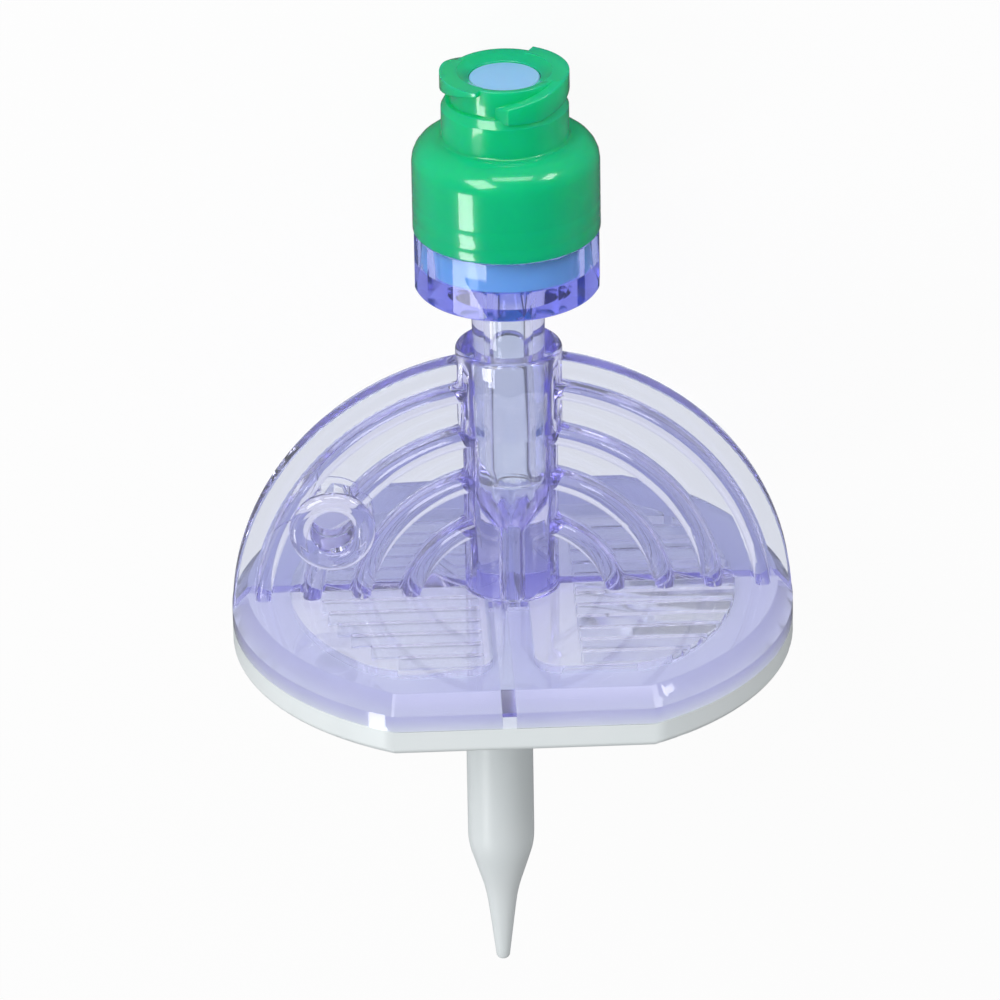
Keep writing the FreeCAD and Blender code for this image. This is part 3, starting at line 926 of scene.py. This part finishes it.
@dataclass
class ValveCap(Moulding):
    """Green cap with its neck and the two-start thread, modelled finer than the node."""

    floor_height: float = 24.15
    body_radius: float = 5.72
    top_height: float = 30.2
    shoulder_rounding: float = 1.6
    wall: float = 1.1
    roof: float = 0.9
    neck_radius: float = 3.88
    neck_rounding: float = 0.2
    neck_height: float = 2.0
    neck_bevel: Tuple[float, float] = (0.26, 0.5)
    core_radius: float = 3.35
    core_height: float = 1.75
    dish_radius: float = 3.0
    dish_depth: float = 0.35
    bore_radius: float = 2.19
    edge_rounding: float = 0.15
    ring_heights: Tuple[float, float] = (0.95, 2.15)
    ring_depth: float = 0.03
    ring_width: float = 0.16
    lug_crest_radius: float = 3.93
    lug_root_radius: float = 2.9
    lug_widths: Tuple[float, float] = (1.75, 1.5)
    lug_rounding: float = 0.14
    lug_lead: float = 5.0
    lug_turn: float = 164.0
    lug_ramp: float = 13.0
    lug_start: float = -103.0
    lug_rise: float = -0.07
    lug_steps: int = 96
    lug_rounding_steps: int = 3
    starts: int = 2

    def shape(self) -> bpy.types.Object:
        """Spin the body and join the thread to it.

        Returns:
            The bare piece, in the frame's metres.
        """
        piece = self.body()
        for start in range(self.starts):
            Bench.combine(piece, self.lug(self.lug_start + start * 360.0 / self.starts), "UNION")
        piece.data.transform(UPRIGHT.turn())
        return piece

    def thread_height(self) -> float:
        """Height at which the thread's core begins."""
        return self.top_height + self.neck_height + self.neck_bevel[1]

    def mouth_height(self) -> float:
        """Height of the mouth's rim."""
        return self.thread_height() + self.core_height

    def body(self) -> bpy.types.Object:
        """Spin the cap's section: body, shoulder, neck, core and the way through.

        Returns:
            The cap without its thread.
        """
        inner = self.body_radius - self.wall
        roof_height = self.top_height - self.roof
        neck_top = self.top_height + self.neck_height
        lip_rounding = self.edge_rounding / 2.0
        corners = [
            Corner(inner, self.floor_height),
            Corner(self.body_radius, self.floor_height, self.edge_rounding),
        ]
        for height in self.ring_heights:
            centre = self.floor_height + height
            for offset, depth in ((-1.0, 0.0), (0.0, self.ring_depth), (1.0, 0.0)):
                corners.append(Corner(self.body_radius - depth, centre + offset * self.ring_width))
        corners += [
            Corner(self.body_radius, self.top_height, self.shoulder_rounding),
            Corner(self.neck_radius, self.top_height, self.neck_rounding),
            Corner(self.neck_radius, neck_top, lip_rounding),
            Corner(self.neck_radius - self.neck_bevel[0], self.thread_height(), lip_rounding),
            Corner(self.core_radius, self.thread_height()),
            Corner(self.core_radius, self.mouth_height(), lip_rounding),
            Corner(self.dish_radius, self.mouth_height()),
            Corner(self.bore_radius, self.mouth_height() - self.dish_depth, lip_rounding),
            Corner(self.bore_radius, roof_height),
            Corner(inner, roof_height, self.shoulder_rounding - self.edge_rounding),
        ]
        return Bench.spun("valve_cap_body", corners)

    def lug(self, start_angle: float) -> bpy.types.Object:
        """Screw one thread section round the axis, close its ends and trim it to the neck.

        Args:
            start_angle: Where the thread begins, in degrees from the right.

        Returns:
            The thread lug.
        """
        half_root, half_crest = (width / 2.0 for width in self.lug_widths)
        middle = self.thread_height() + self.lug_rise
        section = Bench.outline("thread_lug", [
            Corner(self.lug_root_radius, middle - half_root),
            Corner(self.lug_crest_radius, middle - half_crest, self.lug_rounding),
            Corner(self.lug_crest_radius, middle + half_crest, self.lug_rounding),
            Corner(self.lug_root_radius, middle + half_root),
        ], segments=self.lug_rounding_steps)
        Bench.only(section)
        screw = section.modifiers.new("thread", "SCREW")
        screw.angle = math.radians(self.lug_turn)
        screw.screw_offset = self.lug_lead * self.lug_turn / 360.0
        screw.steps = self.lug_steps
        screw.render_steps = self.lug_steps
        bpy.ops.object.modifier_apply(modifier=screw.name)
        self.ramp(section)
        section.data.transform(Matrix.Rotation(math.radians(start_angle), 4, "Z"))
        bpy.ops.object.mode_set(mode="EDIT")
        bpy.ops.mesh.select_all(action="DESELECT")
        bpy.ops.mesh.select_non_manifold()
        bpy.ops.mesh.edge_face_add()
        foot = self.thread_height() - self.edge_rounding
        for height, up in ((self.mouth_height(), 1.0), (foot, -1.0)):
            bpy.ops.mesh.select_all(action="SELECT")
            bpy.ops.mesh.bisect(plane_co=(0.0, 0.0, height), plane_no=(0.0, 0.0, up), use_fill=True,
                                clear_outer=True)
        bpy.ops.mesh.select_all(action="SELECT")
        bpy.ops.mesh.normals_make_consistent(inside=False)
        bpy.ops.object.mode_set(mode="OBJECT")
        return section

    def ramp(self, lug: bpy.types.Object) -> None:
        """Let the thread rise out of the core over its first degrees.

        Args:
            lug: The thread lug, before its turn to its start.
        """
        for vertex in lug.data.vertices:
            turned = math.degrees(math.atan2(vertex.co.y, vertex.co.x)) % 360.0
            radius = math.hypot(vertex.co.x, vertex.co.y)
            if turned >= self.lug_ramp or radius <= self.core_radius:
                continue
            grown = self.core_radius - self.ring_depth
            grown += (radius - self.core_radius) * turned / self.lug_ramp
            vertex.co.x *= grown / radius
            vertex.co.y *= grown / radius


@dataclass
class ValveSeal(Moulding):
    """Elastic seal, whose flange shows through the skirt and whose flush top is the septum."""

    stem_radius: float = 2.15
    flange_radius: float = 4.92
    flange_heights: Tuple[float, float] = (22.05, 24.15)
    wall: float = 0.85
    cone_height: float = 27.35
    top_height: float = 34.05
    septum: float = 2.6
    rounding: float = 0.12

    def shape(self) -> bpy.types.Object:
        """Spin the seal's section.

        Returns:
            The bare piece, in the frame's metres.
        """
        low, high = self.flange_heights
        hollow = self.stem_radius - self.wall
        septum_height = self.top_height - self.septum
        piece = Bench.spun("valve_seal_body", [
            Corner(self.stem_radius, low),
            Corner(self.flange_radius, low, self.rounding),
            Corner(self.flange_radius, high, self.rounding),
            Corner(self.flange_radius - self.wall, high, self.rounding),
            Corner(self.stem_radius, self.cone_height, self.wall),
            Corner(self.stem_radius, self.top_height, self.rounding),
            Corner(0.0, self.top_height),
            Corner(0.0, septum_height),
            Corner(hollow, septum_height),
            Corner(hollow, self.cone_height - self.wall),
            Corner(self.stem_radius, high - self.wall),
        ])
        piece.data.transform(UPRIGHT.turn())
        return piece


# Welded and seated faces sink in by this much, in millimetres, so that no dark gap shows there
WELD = -0.02
LID_SEAT = Seat(height=-2.15, lift=WELD)
HOUSING_SEATS = tuple(Seat(height, lift=WELD) for height in ValveSeal.flange_heights)


@dataclass
class SpikeAssembly:
    """All mouldings of the part, in the order in which they are put together."""

    mouldings: List[Moulding] = field(default_factory=lambda: [
        Moulding("spike_base", "white_plastic", WHITE_PLASTIC),
        Moulding("air_filter_left", "filter_membrane", MEMBRANE),
        Moulding("air_filter_right", "filter_membrane", MEMBRANE),
        SeatedMoulding("grip_cover", "clear_lilac_plastic", LILAC_PLASTIC, seats=(LID_SEAT,)),
        SeatedMoulding("valve_base", "clear_violet_plastic", VIOLET_PLASTIC, Smoothing.FACETED,
                       seats=HOUSING_SEATS),
        ValveSeal("valve_seal", "blue_silicone", BLUE_SILICONE),
        ValveCap("valve_cap", "green_plastic", GREEN_PLASTIC),
    ])

    def build(self) -> Dict[str, bpy.types.Object]:
        """Build each moulding.

        Returns:
            The pieces by the names of their nodes.
        """
        return {moulding.node: moulding.build() for moulding in self.mouldings}


def main() -> None:
    """Build the studio and the part."""
    logging.basicConfig(level=logging.INFO, format="%(name)s: %(message)s")
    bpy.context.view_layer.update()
    Studio().build()
    pieces = SpikeAssembly().build()
    LOG.info("pieces: %s", ", ".join(sorted(pieces)))


if __name__ == "__main__":
    main()
